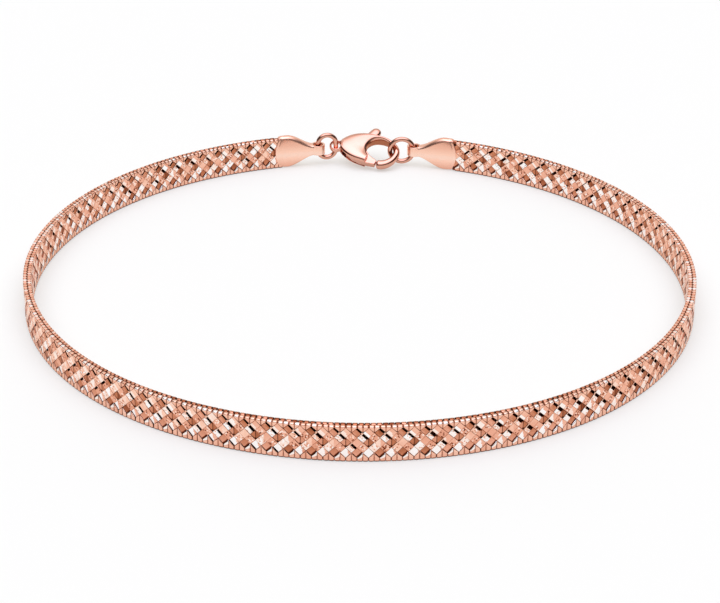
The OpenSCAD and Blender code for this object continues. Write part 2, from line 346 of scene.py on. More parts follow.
def diamond(plates, column, row, height, tone, spans, steps, relief=0.0, smooth=False, gap=None):
    """A plate in the diamond round (column, row). Height and tone are functions of u and v. Spans are where
    the plate starts and ends along u and along v. Gap names the wall that a gap beside the plate lays bare;
    that wall is painted black as shade, and the other walls a darker painted shade. A sunk plate lies in the
    shade of its neighbours, so its rim is painted darker than that of a raised one."""
    marks = np.concatenate([[0], np.linspace(bevel_share, 1 - bevel_share, steps), [1]])
    n = len(marks)
    u, v = np.meshgrid(marks, marks, indexing="ij")
    rim = (u == 0) | (u == 1) | (v == 0) | (v == 1)
    depth = height(u, v) - bevel_drop * rim
    if relief:
        depth = depth + relief * rng.choice(relief_marks, size=u.shape) * ~rim
    u_low, u_high, v_low, v_high = spans
    along = u_low + u * (u_high - u_low)
    across = v_low + v * (v_high - v_low)
    top = np.stack([column - 1 + along + across, row - along + across, depth], -1).reshape(-1, 3)
    base = np.array([
        [column - 1 + a + b, row - a + b, base_depth]
        for a, b in ((u_low, v_low), (u_high, v_low), (u_high, v_high), (u_low, v_high))
    ])
    points = np.concatenate([top, base])
    points[:, 1] = pattern_z + points[:, 1] * row_mm
    near, right, far, left = n * n, n * n + 1, n * n + 2, n * n + 3
    faces = grid_faces(n, n)
    middles = (marks[1:] + marks[:-1]) / 2
    u_mid, v_mid = np.meshgrid(middles, middles, indexing="ij")
    edge = (abs(u_mid - 0.5) > 0.5 - bevel_share) | (abs(v_mid - 0.5) > 0.5 - bevel_share)
    shade = rim_shade if depth.max() > raised_depth else sunk_rim_shade
    tones = np.clip(tone(u_mid, v_mid) - shade * edge, 0, 1).ravel()
    faces.append([near, right, *range(n * n - n, -1, -n)])
    faces.append([right, far, *range(n * n - 1, n * n - n - 1, -1)])
    faces.append([far, left, *range(n - 1, n * n, n)])
    faces.append([left, near, *range(n)])
    faces.append([near, left, far, right])
    walls = [gap_shade if side == gap else wall_shade for side in range(4)] + [gap_shade]
    plates.add(points, faces, tones, walls, smooth)


print("a plate is bevelled over", bevel_share, "of its side")

# %% [markdown]
# The strips take turns. Falling strips ride on top and rising strips dive under them, which leaves a small
# gap, painted black as shade, at the upper end of many rising stretches. Inside, at the right of the
# closure, and outside, on the left of the hoop, it is the other way round. Between the strips lie sunk
# plates, painted darker as shade: creased ones in the middle row and flat ones above and below them.
# Crossings are smooth and carry a painted white highlight on one side. The stretches between them are
# stippled by the cutter, and painted dots of glint and shade stand for the light on the stippling. At most
# places the strips that dive are painted lightest, a painted highlight.

# %% The height of each facet
def facet(middle, crown=0.0, dive=0.0, tilt=0.0, crease=0.0):
    """Height in mm out of the band's middle, as a function of u and v. Crown, dive, tilt and crease
    say how far it falls at both ends, at the upper end, towards the top and at the middle line."""
    return lambda u, v: (
        middle - crown * (2 * v - 1) ** 2 - dive * v - tilt * (v - u) - crease * (1 - abs(u + v - 1))
    )


over_strip = facet(0.47, crown=0.02)
under_strip = facet(0.46, crown=0.02, dive=0.02)
crossing = facet(0.465, tilt=0.015)
low_crossing = facet(0.455, tilt=0.03)
creased = facet(0.41, crease=0.04)
sunk_flat = facet(0.40, tilt=0.02)
print("strips lie", over_strip(0.5, 0.5), "mm from the middle, recesses", sunk_flat(0.5, 0.5), "mm")

# %% The tones of each facet
fade_most = 0.08
dot_glint_and_shade = [-0.36, 0.26, 0.0]
dot_reach = 0.4
tone_noise = 0.02
crease_half = 0.06
crease_shade = 0.03
corner_from = 0.62
corner_shade = 0.2
slot_from = 0.76
slot_tones = (0.08, 0.16)
slot_fade = 0.06
bridge_tone = 0.72


def flashing(base, flash, edge_from, edge_to, lean):
    """Two tones, parted by a line that lies somewhere between two places; a much lighter second tone is a
    painted highlight. The duller one fades.
    """
    edge = rng.uniform(edge_from, edge_to)
    fade = rng.uniform(-fade_most, fade_most)
    return lambda u, v: np.where((u + v - 1) + lean * (v - u) < edge, flash, base + fade * (v - u))


def stippled(base, dark_share, bright_share):
    """A tone with dark and bright dots away from the edges: painted shade and painted glints of the
    stippling.
    """
    shares = [dark_share, bright_share, 1 - dark_share - bright_share]
    fade = rng.uniform(-fade_most, fade_most)

    def tone(u, v):
        dots = rng.choice(dot_glint_and_shade, size=u.shape, p=shares)
        dots = dots * (abs(u - 0.5) < dot_reach) * (abs(v - 0.5) < dot_reach)
        return base + fade * (v - u) + dots + rng.normal(0, tone_noise, size=u.shape)

    return tone


def creased_tone(left, right):
    """Painted shade: a dark line between two facets, the right facet darker, and dark corners above and
    below.
    """
    return lambda u, v: np.select(
        [abs(u + v - 1) < crease_half, abs(v - u) > corner_from, u + v < 1],
        [crease_shade, corner_shade, left],
        right,
    )


def slotted_tone(dull, left_corner):
    """A flat recess whose lower right edge lies in the dark, and so may its left corner."""
    dark = rng.uniform(*slot_tones)
    return lambda u, v: np.where((u > slot_from) | (u + v < left_corner), dark, dull + slot_fade * (u - v))


print("dots change a tone by", dot_glint_and_shade)

# %% [markdown]
# Neither the painted light nor the order of the strips is the same all round the hoop: the outside is
# painted lighter on the left and dimmer on the right, and its sunk plates less shaded towards the front and
# the left. The angles below say where they change. They are in radians from the closure, clockwise from
# above, so the front of the hoop lies at pi, its right half before that and its left half after it.

# %% Where the looks change
right_dim_until = 2.4
right_gaps_until = 2.7
low_trim_from = 3.3
left_glow_from = 3.4
left_lift_from = 3.8
inner_turn_until = 1.9
front_reach = 0.35
pale_reach = 0.65
mixed_gaps_aside = 0.6
left_glow = 0.12
right_dim = 0.09
least_dim = 0.01


class Spot:
    """One place of the lattice. Rising and falling say which strips pass there, and turned that rising
    strips lie on top and gaps open at the upper left. Lifted is turned outside. Aside grows from 0 at the
    front of the hoop to 1 beside it. The other values belong to the tones: glow and dim are painted light,
    and recess is the painted shade of a sunk plate."""

    def __init__(self, plates, column, row, facing):
        self.at = (plates, column, row)
        self.row = row
        self.outside = facing > 0
        self.rising = (column - row) % per_repeat == 2
        self.falling = (column + row) % per_repeat == 2
        self.angle = hoop_angle(column, facing)
        from_front = abs(self.angle - math.pi)
        self.aside = min(from_front / front_reach, 1.0)
        self.leftward = self.outside and self.angle > left_lift_from
        self.lifted = self.leftward and abs(row) == 1
        turned_inside = not self.outside and (self.angle < inner_turn_until or row == 2)
        self.turned = self.lifted or turned_inside
        self.gap = UPPER_LEFT if self.turned else UPPER_RIGHT
        self.glow = left_glow if self.outside and self.angle > left_glow_from else 0.0
        self.dim = right_dim if self.outside and self.angle < right_dim_until else least_dim
        self.base = rng.normal(0.56, 0.035)
        # Painted shade: sunk plates are darker, a little less so on the left and near the front.
        self.recess = rng.uniform(0.22, 0.44) + 0.07 * self.leftward
        if self.outside and from_front < pale_reach:
            self.recess += 0.06 + 0.06 * self.aside


print("the order of the strips changes at", left_lift_from, "outside, at", inner_turn_until, "inside")

# %% What each place holds
seam = 0.004
WHOLE = (seam, 1 - seam, seam, 1 - seam)
crossing_steps = 7
strip_steps = 6
crease_steps = 8
upper_steps = 4
lower_steps = 7
strip_relief = 0.012
low_trim = 0.2
upper_gap = 0.28
left_upper_gap = 0.44
bridged_from = 0.2


def cut_back(spot, share):
    """Spans of a plate that leaves a share of its place free for a gap."""
    if spot.turned:
        return (share, 1 - seam, seam, 1 - seam)
    return (seam, 1 - seam, seam, 1 - share)


def bridge(spot, share, low, high):
    """A small bright plate across the gap, from low to high along it."""
    spans = (low, high, 1 - share, 1 - seam)
    if spot.turned:
        spans = (seam, share, 1 - high, 1 - low)
    diamond(*spot.at, over_strip, lambda u, v: bridge_tone + 0 * u, spans, 2)


def gap_shares(spot):
    """The shares of a diving stretch that a gap beside it may take. One is drawn from them."""
    if spot.lifted:
        return [seam, 0.3]
    if spot.row > 0:
        return [0.32, 0.38, 0.46] if spot.outside else [0.1, 0.3, 0.4]
    if spot.outside and spot.angle < right_gaps_until:
        return [0.32, 0.4, 0.48]
    if spot.outside and spot.aside > mixed_gaps_aside:
        return [seam, 0.3, 0.38]
    return [seam, seam, seam, 0.36]


def add_crossing(spot):
    """Two strips cross, and one side of the crossing carries a painted highlight."""
    height = crossing
    spans = WHOLE
    if spot.row == -2:
        height = low_crossing
        if spot.outside and spot.angle > low_trim_from:
            spans = (seam, 1 - seam, low_trim, 1 - seam)
        flash = rng.uniform(0.94, 1.0) - spot.dim
        tone = flashing(spot.base + 0.05, flash, 0.4 - 0.6 * spot.aside, 1.3 - 0.9 * spot.aside, 0.2)
    elif spot.row == 2:
        flash = rng.uniform(0.85, 1.0) - spot.dim
        tone = flashing(spot.base + 0.08 + spot.glow, flash, -0.5, 0.4, 0.9)
    else:
        flash = rng.uniform(0.7, 0.95) - spot.dim + 0.17 * spot.leftward
        wider = 0.6 * spot.leftward
        tone = flashing(spot.base + 0.06 + spot.glow, flash, -0.9 + wider, 0.2 + wider, 0.1)
    diamond(*spot.at, height, tone, spans, crossing_steps, smooth=True)


def add_strip(spot):
    """A stippled stretch of one strip, which rides over its neighbours or dives under them."""
    if spot.rising == spot.turned:
        tone = stippled(spot.base + 1.6 * spot.glow * spot.lifted, 0.17, 0.16)
        diamond(*spot.at, over_strip, tone, WHOLE, strip_steps, strip_relief)
        return
    share = rng.choice(gap_shares(spot))
    # Painted highlight: a diving stretch is painted lighter.
    bright = rng.choice([0.74, 0.88, 0.94, 0.98]) + 0.3 * spot.glow - spot.dim
    tone = stippled(spot.base - 0.01 if spot.lifted else bright, 0.17, 0.1)
    spans = cut_back(spot, share)
    diamond(*spot.at, under_strip, tone, spans, strip_steps, strip_relief, gap=spot.gap)
    if share > bridged_from:
        bridge(spot, share, seam, 0.13)


def add_recess(spot):
    """A sunk plate between the strips, painted darker as shade."""
    if spot.row == 0:
        left = spot.recess + 0.02
        tone = creased_tone(left, left - rng.uniform(0.05, 0.14))
        diamond(*spot.at, creased, tone, WHOLE, crease_steps)
    elif spot.row > 0:
        tone = flashing(spot.recess - 0.03, spot.recess + 0.03, -0.3, 0.3, 0.3)
        share = left_upper_gap if spot.leftward else upper_gap
        spans = cut_back(spot, share)
        diamond(*spot.at, sunk_flat, tone, spans, upper_steps, gap=spot.gap)
        bridge(spot, share, 0.88, 1 - seam)
    else:
        tone = slotted_tone(spot.recess, 0.0 if spot.outside else 0.45)
        diamond(*spot.at, sunk_flat, tone, WHOLE, lower_steps)


def fill_place(plates, column, row, facing):
    """Puts the right plate into one place of the lattice."""
    spot = Spot(plates, column, row, facing)
    if spot.rising and spot.falling:
        add_crossing(spot)
    elif spot.rising or spot.falling:
        add_strip(spot)
    else:
        add_recess(spot)


print("three kinds of place: crossings, strips and recesses")

# %% [markdown]
# At each long edge the strips fold over into staples, four to a repeat, that wrap the rounded shoulder and
# end in the groove between the two layers. Their lower ends are cut to teeth that point at the middle of the
# band. The slits between them are widest where the strips part, and their walls are painted dark as shade.
# Beads on the upper edge carry painted glints, those on the lower edge lie in painted shade, and some lower
# teeth carry a painted highlight.

# %% One edge staple
slit = [0.07, 0.03, 0.05, 0.03]
bead_half_t = 0.245
bead_h = 0.16
base_bead = 0.04
tooth_gap = 0.03
least_face_h = 0.02
across_share = np.array([0, 0.16, 0.5, 0.84, 1])
across_drop = np.array([0.06, 0.022, 0, 0.022, 0.06])
front_drop_share = 0.3
lower_drop_share = 0.4
face_share = np.array([0, 0.12, 0.5, 1])
face_drop = np.array([0.05, 0, 0, 0])
bead = len(face_share)
bead_angles = np.radians([20, 40, 60, 80, 100, 125, 150, 170])
bead_up = np.sin(bead_angles) ** 0.6
bead_out = np.sign(np.cos(bead_angles)) * abs(np.cos(bead_angles)) ** 0.7
slit_shade = 0.14
side_shade = 0.12
glints = [0.02, 0.08, 0.14, 0.28]
glint_side_shade = 0.22
far_bead_shade = 0.5
lower_bead_shade = 0.52
tooth_flash = 0.93


def staple_skin(k, at_top, angle):
    """Height and depth of the points up the flat face and round the bead, column by column."""
    low_row = 3 - abs(k - 2 * np.round(k / 2)) + tooth_gap
    shoulder_z = band_w - bead_h
    middle = pattern_z if at_top else band_w - pattern_z
    low_z = np.minimum(middle + low_row * row_mm, shoulder_z - least_face_h)
    face_z = low_z[:, None] + (shoulder_z - low_z)[:, None] * face_share
    drop_share = lower_drop_share
    if at_top:
        drop_share = front_drop_share + (1 - front_drop_share) * math.sin(angle) ** 2
    drop = across_drop[:, None] * drop_share
    face_d = 2 * bead_half_t - drop - face_drop
    shrink = 1 - drop / bead_h
    bead_z = shoulder_z + shrink * bead_h * bead_up
    bead_d = bead_half_t + shrink * bead_half_t * bead_out
    return np.concatenate([face_z, bead_z], 1), np.concatenate([face_d, bead_d], 1)


def staple_tones(shape, column, at_top, near):
    """Tones of the skin's faces: painted shade at the sides and on far and lower beads, painted glints on
    upper beads and some lower teeth. Near is 1 where they look to the front and -1 to the back.
    """
    tones = np.full(shape, rng.normal(0.66, 0.03))
    tones[[0, -1]] -= side_shade
    if at_top:
        tones[:, bead - 1:] += rng.choice(glints)
        tones[[0, -1], bead - 1:] -= glint_side_shade
        tones[:, bead - 1:] -= far_bead_shade * min(near, 0) ** 2
    else:
        tones[:, bead - 1:] -= lower_bead_shade
    if column % per_repeat == 2 and not at_top:
        tones[:, :2] = tooth_flash
    return np.clip(tones, 0, 1)


def staple(plates, column, at_top, facing):
    left = column + slit[column % per_repeat]
    right = column + 1 - slit[(column + 1) % per_repeat]
    k = left + (right - left) * across_share
    angle = hoop_angle(column, facing)
    z, d = staple_skin(k, at_top, angle)
    columns, rows = z.shape
    top = np.stack([np.repeat(k[:, None], rows, 1), z, d], -1)
    base_z = np.concatenate([z[0, :bead], band_w - bead_h + base_bead * np.sin(bead_angles)])
    base_d = np.full(rows, base_depth)
    base_d[bead:] = bead_half_t + base_bead * np.cos(bead_angles)
    base = [np.stack([np.full(rows, side), base_z, base_d], 1) for side in (left, right)]
    base[1][:bead, 1] = z[-1, :bead]
    points = np.concatenate([top.reshape(-1, 3), base[0], base[1]])
    first = columns * rows
    second = first + rows
    last = (columns - 1) * rows
    faces = grid_faces(columns, rows)
    tones = staple_tones((columns - 1, rows - 1), column, at_top, -facing * math.cos(angle))
    walls = [slit_shade] * (3 * (rows - 1) + 2)
    for j in range(rows - 1):
        faces.append([first + j + 1, first + j, j, j + 1])
        faces.append([second + j, second + j + 1, last + j + 1, last + j])
        faces.append([first + j, first + j + 1, second + j + 1, second + j])
    faces.append([first, second, *range(last, -1, -rows)])
    faces.append([second + rows - 1, first + rows - 1, *range(rows - 1, first, rows)])
    if not at_top:
        points[:, 1] = band_w - points[:, 1]
        faces = [face[::-1] for face in faces]
    plates.add(points, faces, tones.ravel(), walls, True)


print("a staple's bead is", 2 * bead_half_t, "mm across")

# %% [markdown]
# Now the lattice is walked once for each face of the band. All plates of one face become a single
# mesh, and their tones are stored on its faces, where the metal's shader reads them.

# %% Building both faces
def make_piece(name, points, faces, metals, unit=MM):
    mesh = bpy.data.meshes.new(name)
    mesh.from_pydata((np.asarray(points) * unit).tolist(), [], faces)
    for metal_used in metals:
        mesh.materials.append(metal_used)
    piece = bpy.data.objects.new(name, mesh)
    bpy.context.scene.collection.objects.link(piece)
    return piece


def place_plates(name, plates, facing):
    points = on_hoop(np.concatenate(plates.points), facing)
    piece = make_piece(name, points, plates.faces, [strip])
    mesh = piece.data
    mesh.polygons.foreach_set("use_smooth", plates.smooth)
    mesh.attributes.new("tone", "FLOAT", "FACE").data.foreach_set("value", plates.tones)
    mesh.update()
    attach(piece, "anklet")
    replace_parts(piece, "mesh_band")
    print(name, "has", sum(len(face) - 2 for face in plates.faces), "triangles")


for side_name, facing in (("outer", 1), ("inner", -1)):
    cells = Plates()
    staples = Plates()
    for column in columns_shown(facing):
        for row in range(-2, 3):
            if (column + row) % 2 == 0:
                fill_place(cells, column, row, facing)
        for at_top in (True, False):
            staple(staples, column, at_top, facing)
    place_plates("weave_" + side_name, cells, facing)
    place_plates("staples_" + side_name, staples, facing)

# %% [markdown]
# What the black gaps show is the dim space between the layers. A plain strip fills it, so that no light
# passes through, and its ends reach into the caps; its near-black colour is painted shade. Along each edge
# it swells into two brown beads, which lie close under the staples and close the slits between them; their
# brown is painted shade too.

# %% The shaded inside
core_half_t = 0.1
core_bead_half_t = 0.15
core_bead_h = 0.1
core_foot = 0.45
core_neck = 0.22
core_steps = 400
core_shade = 0.02
core_bead_shade = 0.2
core_angles = np.linspace(weave_end, 2 * math.pi - weave_end, core_steps)
quarter = [(core_half_t, band_w - core_foot), (bead_half_t + core_bead_half_t, band_w - core_neck)]
quarter += [
    (bead_half_t + core_bead_half_t * math.cos(a), band_w - bead_h + core_bead_h * math.sin(a))
    for a in np.radians(np.arange(0, 181, 30))
]
profile = [(d, band_w - z) for d, z in quarter[::-1]] + quarter
profile += [(-d, z) for d, z in profile[::-1]]
n = len(profile)
core_points = [
    ((hoop_r + d) * math.sin(a), (hoop_r + d) * math.cos(a), z)
    for a in core_angles
    for d, z in profile
]
core_faces = tube_faces(core_steps, n, closed=False)
heights = np.array(profile)[:, 1]
flat = abs(heights - np.roll(heights, -1)) > 1
core_tones = [*np.where(flat, core_shade, core_bead_shade)] * (core_steps - 1) + [gap_shade, gap_shade]
core_faces.append(list(range(n)))
core_faces.append([n * core_steps - 1 - j for j in range(n)])
core = make_piece("weave_inside", core_points, core_faces, [inside])
core.data.attributes.new("tone", "FLOAT", "FACE").data.foreach_set("value", core_tones)
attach(core, "anklet")
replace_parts(core, "mesh_band")
print("inside strip has", len(core_faces), "faces")

# %% [markdown]
# The hard pieces are cast and tumbled, so no edge on them is sharp. Each is first built plainly
# in millimetres, with overlaps and cut-outs. A voxel remesh then fuses it into one skin, and a
# few smoothing passes round every edge by about a tenth of a millimetre.

# %% Fusing a casting
cap_voxel = 0.06
clasp_voxel = 0.05


def bake(piece):
    """Applies the modifiers of a piece."""
    graph = bpy.context.evaluated_depsgraph_get()
    mesh = bpy.data.meshes.new_from_object(piece.evaluated_get(graph))
    piece.modifiers.clear()
    piece.data = mesh


def rough_shape(name, points, faces):
    """A scratch object that stays in millimetres."""
    return make_piece(name, points, faces, [], unit=1)


def combine(shape, other, operation):
    """Joins or cuts a shape with another one, which is used up."""
    modifier = shape.modifiers.new("combine", "BOOLEAN")
    modifier.operation = operation
    modifier.solver = "EXACT"
    modifier.object = other
    bake(shape)
    bpy.data.objects.remove(other)


def cast(shape, voxel, passes, place, metals, body="anklet", shaded=None):
    """Remeshes and smooths a rough shape, then sets it in its place in metres. Shaded says which
    faces, by their middles, take the second metal."""
    remesh = shape.modifiers.new("fuse", "REMESH")
    remesh.mode = "VOXEL"
    remesh.voxel_size = voxel
    smooth = shape.modifiers.new("round", "SMOOTH")
    smooth.factor = 0.5
    smooth.iterations = passes
    bake(shape)
    mesh = shape.data
    mesh.materials.clear()
    for metal_used in metals:
        mesh.materials.append(metal_used)
    if shaded:
        middles = np.zeros(len(mesh.polygons) * 3)
        mesh.polygons.foreach_get("center", middles)
        mesh.polygons.foreach_set("material_index", shaded(middles.reshape(-1, 3)).astype(int))
    points = np.zeros(len(mesh.vertices) * 3)
    mesh.vertices.foreach_get("co", points)
    moved = place(points.reshape(-1, 3)) * MM
    mesh.vertices.foreach_set("co", moved.ravel())
    mesh.polygons.foreach_set("use_smooth", [True] * len(mesh.polygons))
    mesh.update()
    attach(shape, body)
    print(shape.name, "has", 2 * len(mesh.polygons), "triangles")
    return shape


def polar(middle, radius, angle):
    """The point at an angle and a distance from a middle."""
    return middle[0] + radius * math.cos(angle), middle[1] + radius * math.sin(angle)


def lathe(profile, steps):
    """A closed profile of (radius, height) points turned about the Z axis."""
    turns = [2 * math.pi * i / steps for i in range(steps)]
    points = [(*polar((0, 0), r, turn), z) for turn in turns for r, z in profile]
    return points, tube_faces(steps, len(profile), closed=True)


def prism(outline, half):
    """An outline, counter-clockwise in X and Y, made into a block from -half to half in Z."""
    n = len(outline)
    points = [(x, y, z) for z in (-half, half) for x, y in outline]
    faces = [[i, (i + 1) % n, n + (i + 1) % n, n + i] for i in range(n)]
    return points, faces + [list(range(n - 1, -1, -1)), list(range(n, 2 * n))]


print("caps are fused at", cap_voxel, "mm and the clasp at", clasp_voxel, "mm")

# %% [markdown]
# Each end cap is a spade-shaped piece of sheet folded over the end of the band, with a link loop
# at its narrow end. Its outline runs on one smooth curve from the neck to the wide end, which an
# arc closes, and both faces are gently crowned.

# %% The end caps
loop_s = 6.78
cap_len = 6.17
cap_half_w = 2.3
cap_t = 1.5
cap_bulge = 0.72
neck_half_h = 0.72
neck_end_x = 0.4
flat_start_x = 4.6
crown_r = 10.5
cap_corner_r = 0.3
cap_edge_r = 0.38
loop_r = 0.98
loop_hole_r = 0.67
loop_half_h = 0.68
cap_chord_s = 12.2
cap_start_x = 0.75
thin_from = 0.72
thinned_by = 0.10
groove_at = 0.93
groove_reach = 0.018
groove_depth = 0.05


def cap_grid():
    """Columns of points over one face: X along the cap, Z up, and half the thickness."""
    arc_r = (cap_half_w ** 2 + cap_bulge ** 2) / (2 * cap_bulge)
    along = np.linspace(0, 1, 70)
    up = np.sin(np.linspace(-math.pi / 2, math.pi / 2, 61))
    a, v = np.meshgrid(along, up, indexing="ij")
    corner_x = cap_len - cap_bulge
    edge_x = cap_start_x + a * (corner_x - cap_start_x)
    t = np.clip((edge_x - neck_end_x) / (flat_start_x - neck_end_x), 0, 1)
    half_h = neck_half_h + (cap_half_w - neck_half_h) * t * t * (3 - 2 * t)
    z = v * half_h
    over = np.clip(abs(v) * cap_half_w - (cap_half_w - cap_corner_r), 0, cap_corner_r)
    corner = cap_corner_r - np.sqrt(cap_corner_r ** 2 - over ** 2)
    end_x = cap_len - arc_r + np.sqrt(arc_r ** 2 - (v * cap_half_w) ** 2) - corner
    x = cap_start_x + a * (end_x - cap_start_x)
    thinned = np.clip((a - thin_from) / (1 - thin_from), 0, 1) ** 2
    half_t = cap_t / 2 - z ** 2 / (2 * crown_r) - thinned_by * thinned
    edge_in = np.clip(abs(z) - (half_h - cap_edge_r), 0, cap_edge_r)
    half_t = half_t - (cap_edge_r - np.sqrt(cap_edge_r ** 2 - edge_in ** 2))
    half_t = half_t - groove_depth * np.exp(-((a - groove_at) / groove_reach) ** 2)
    return x, z, half_t


def cap_shape(name):
    x, z, half_t = cap_grid()
    front = np.stack([x, -half_t, z], -1).reshape(-1, 3)
    back = np.stack([x, half_t, z], -1).reshape(-1, 3)
    n = len(front)
    faces = grid_faces(*x.shape)
    faces += [[n + i for i in face[::-1]] for face in faces]
    at = np.arange(n).reshape(x.shape)
    ring = np.concatenate([at[:, 0], at[-1, 1:], at[-2::-1, -1], at[0, -2:0:-1]]).tolist()
    for here, there in zip(ring, ring[1:] + ring[:1]):
        faces.append([here, n + here, n + there, there])
    body = rough_shape(name, np.concatenate([front, back]), faces)
    wall = [(loop_hole_r, -loop_half_h), (loop_r, -loop_half_h)]
    wall += [(r, -z) for r, z in wall[::-1]]
    combine(body, rough_shape("loop", *lathe(wall, 64)), "UNION")
    return body


def place_cap(side):
    """The cap stands on its long edge. It is straight, so it lies along a chord of the hoop."""
    a = loop_s / hoop_r
    turn = (loop_s + cap_chord_s) / 2 / hoop_r

    def place(points):
        x = math.cos(turn) * points[:, 0] + math.sin(turn) * points[:, 1]
        y = math.cos(turn) * points[:, 1] - math.sin(turn) * points[:, 0]
        z = points[:, 2] + cap_half_w
        return np.stack([side * (x + hoop_r * math.sin(a)), y + hoop_r * math.cos(a), z], 1)

    return place


for side_name, side in (("left", -1), ("right", 1)):
    cap = cast(cap_shape("cap_" + side_name), cap_voxel, 4, place_cap(side), [sheet])
    if side < 0:
        cap.data.flip_normals()
    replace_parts(cap, "end_cap_" + side_name)

# %% [markdown]
# The jump rings are closed rings of round wire. The left one is a little taller than wide. Both
# are two half circles with straight runs between them, swept by a circle.

# %% The jump rings
wire_r = 0.34
ring_h = 3.32
left_ring_w = 2.55
left_ring_z = 2.58
right_ring_z = 2.28
hook_pass = (3.27, 0.29)
clasp_at = np.array([0, 39.75, 2.1])
clasp_lean = math.radians(32)
clasp_dip = math.radians(6)
eyelet_at = (-4.30, 0.3)


def from_clasp(points):
    """Points of the clasp's own frame in the anklet's frame."""
    points = np.asarray(points, float).reshape(-1, 3)
    x = points[:, 0] * math.cos(clasp_dip) + points[:, 1] * math.sin(clasp_dip)
    y = points[:, 1] * math.cos(clasp_dip) - points[:, 0] * math.sin(clasp_dip)
    z = points[:, 2]
    back = y * math.cos(clasp_lean) - z * math.sin(clasp_lean)
    up = y * math.sin(clasp_lean) + z * math.cos(clasp_lean)
    return clasp_at + np.stack([x, back, up], 1)


def ring_piece(name, side, clasp_point, width, z):
    a = loop_s / hoop_r
    loop_mid = np.array([side * hoop_r * math.sin(a), hoop_r * math.cos(a)])
    far = from_clasp([*clasp_point, 0])[0][:2]
    middle = (loop_mid + far) / 2
    turn = math.atan((far[1] - loop_mid[1]) / (far[0] - loop_mid[0]))
    run = (ring_h - width) / 2
    steps = 128
    sides = 32
    points = []
    for i in range(steps):
        t = 2 * math.pi * (i + 0.5) / steps
        out = np.array([math.cos(t), math.sin(t)])
        centre = width / 2 * out + np.array([0, math.copysign(run, math.sin(t))])
        for j in range(sides):
            b = 2 * math.pi * j / sides
            x, up = centre + wire_r * math.cos(b) * out
            deep = wire_r * math.sin(b)
            points.append((
                middle[0] + x * math.cos(turn) - deep * math.sin(turn),
                middle[1] + x * math.sin(turn) + deep * math.cos(turn),
                z + up,
            ))
    faces = tube_faces(steps, sides, closed=True, flip=True)
    ring = make_piece(name, points, faces, [polished])
    ring.data.polygons.foreach_set("use_smooth", [True] * len(faces))
    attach(ring, "anklet")
    print(name, "has", 2 * len(faces), "triangles")
    return ring


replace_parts(ring_piece("ring_left", -1, eyelet_at, left_ring_w, left_ring_z), "jump_ring_left")
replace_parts(ring_piece("ring_right", 1, hook_pass, ring_h, right_ring_z), "jump_ring_right")

# %% [markdown]
# The clasp's body is one smooth casting round an eye: it swells from the thin hook over the top
# into the teardrop of the two cheeks. Three lists give its rim: the angles round the eye, how far
# the rim reaches there, and its thickness as a share of the full one. The cheeks' channel, the
# slit for the thumb tab and the opening beside the gate are cut out afterwards.

# %% The clasp's rim
clasp_t = 2.0
eye = np.array([1.95, 0.08])
eye_half_w = 1.9
eye_half_h = 1.57
cheek_edge_r = 0.42
edge_growth = 0.6
most_round = 0.96
face_crown = 0.34
thin_tip_x = -4.1
full_body_x = -3.3
thin_tip_share = 0.8
eyelet_mid_r = 0.76
eyelet_wall = 0.34
eyelet_t = 0.8
tip_slot_t = 1.5
rim_angles = [-90, -75, -50, -25, 0, 20, 40, 60, 80, 98, 114]
rim_angles += [128, 141, 154, 165, 173, 179, 186, 196, 210, 222, 234]
rim_reach = [2.86, 2.89, 2.82, 2.76, 2.82, 2.72, 2.44, 2.27, 2.26, 2.40, 2.74]
rim_reach += [3.30, 3.98, 4.80, 5.48, 5.92, 5.98, 5.52, 4.84, 3.98, 3.42, 3.08]
rim_share = [0.63, 0.65, 0.63, 0.58, 0.55, 0.57, 0.66, 0.86, 0.96] + [1.0] * 13
rim_last = len(rim_angles) - 1
rim_steps = 9
corner_steps = 6
face_steps = 10


def smooth_step(t):
    t = np.clip(t, 0, 1)
    return t * t * (3 - 2 * t)


def rim_slope(values, i):
    a = max(i - 1, 0)
    b = min(i + 1, rim_last)
    return (values[b] - values[a]) / (rim_angles[b] - rim_angles[a])


def rim_at(values, place):
    """A value between two entries of a list, on a smooth curve through all of them."""
    i = min(int(place), rim_last - 1)
    t = place - i
    span = rim_angles[i + 1] - rim_angles[i]
    near = values[i] * (2 * t ** 3 - 3 * t ** 2 + 1)
    far = values[i + 1] * (3 * t ** 2 - 2 * t ** 3)
    lean = rim_slope(values, i) * (t ** 3 - 2 * t ** 2 + t) + rim_slope(values, i + 1) * (t ** 3 - t ** 2)
    return near + far + span * lean


def rim_angle(place):
    i = min(int(place), rim_last - 1)
    return math.radians(rim_angles[i] + (place - i) * (rim_angles[i + 1] - rim_angles[i]))


def eye_reach(angle):
    return 1 / math.hypot(math.cos(angle) / eye_half_w, math.sin(angle) / eye_half_h)


print("the rim covers", rim_angles[-1] - rim_angles[0], "degrees")

# %% [markdown]
# A section of the body is a rounded rectangle with crowned faces. Sections are placed round the
# eye like pages of a book and joined, which keeps the long reflections even.

# %% The clasp's body
def section_outline(half_w, half_t, r):
    """Points round one section, counter-clockwise: across the body and out of its face."""
    points = []
    for quarter, (side, face) in enumerate(((1, 1), (-1, 1), (-1, -1), (1, -1))):
        for step in range(corner_steps + 1):
            a = math.radians(90 * (quarter + step / corner_steps))
            points.append((side * (half_w - r) + r * math.cos(a), face * (half_t - r) + r * math.sin(a)))
        if quarter in (0, 2):
            for step in range(1, face_steps):
                x = side * (half_w - r) * (1 - 2 * step / face_steps)
                points.append((x, face * half_t))
    return np.array(points)


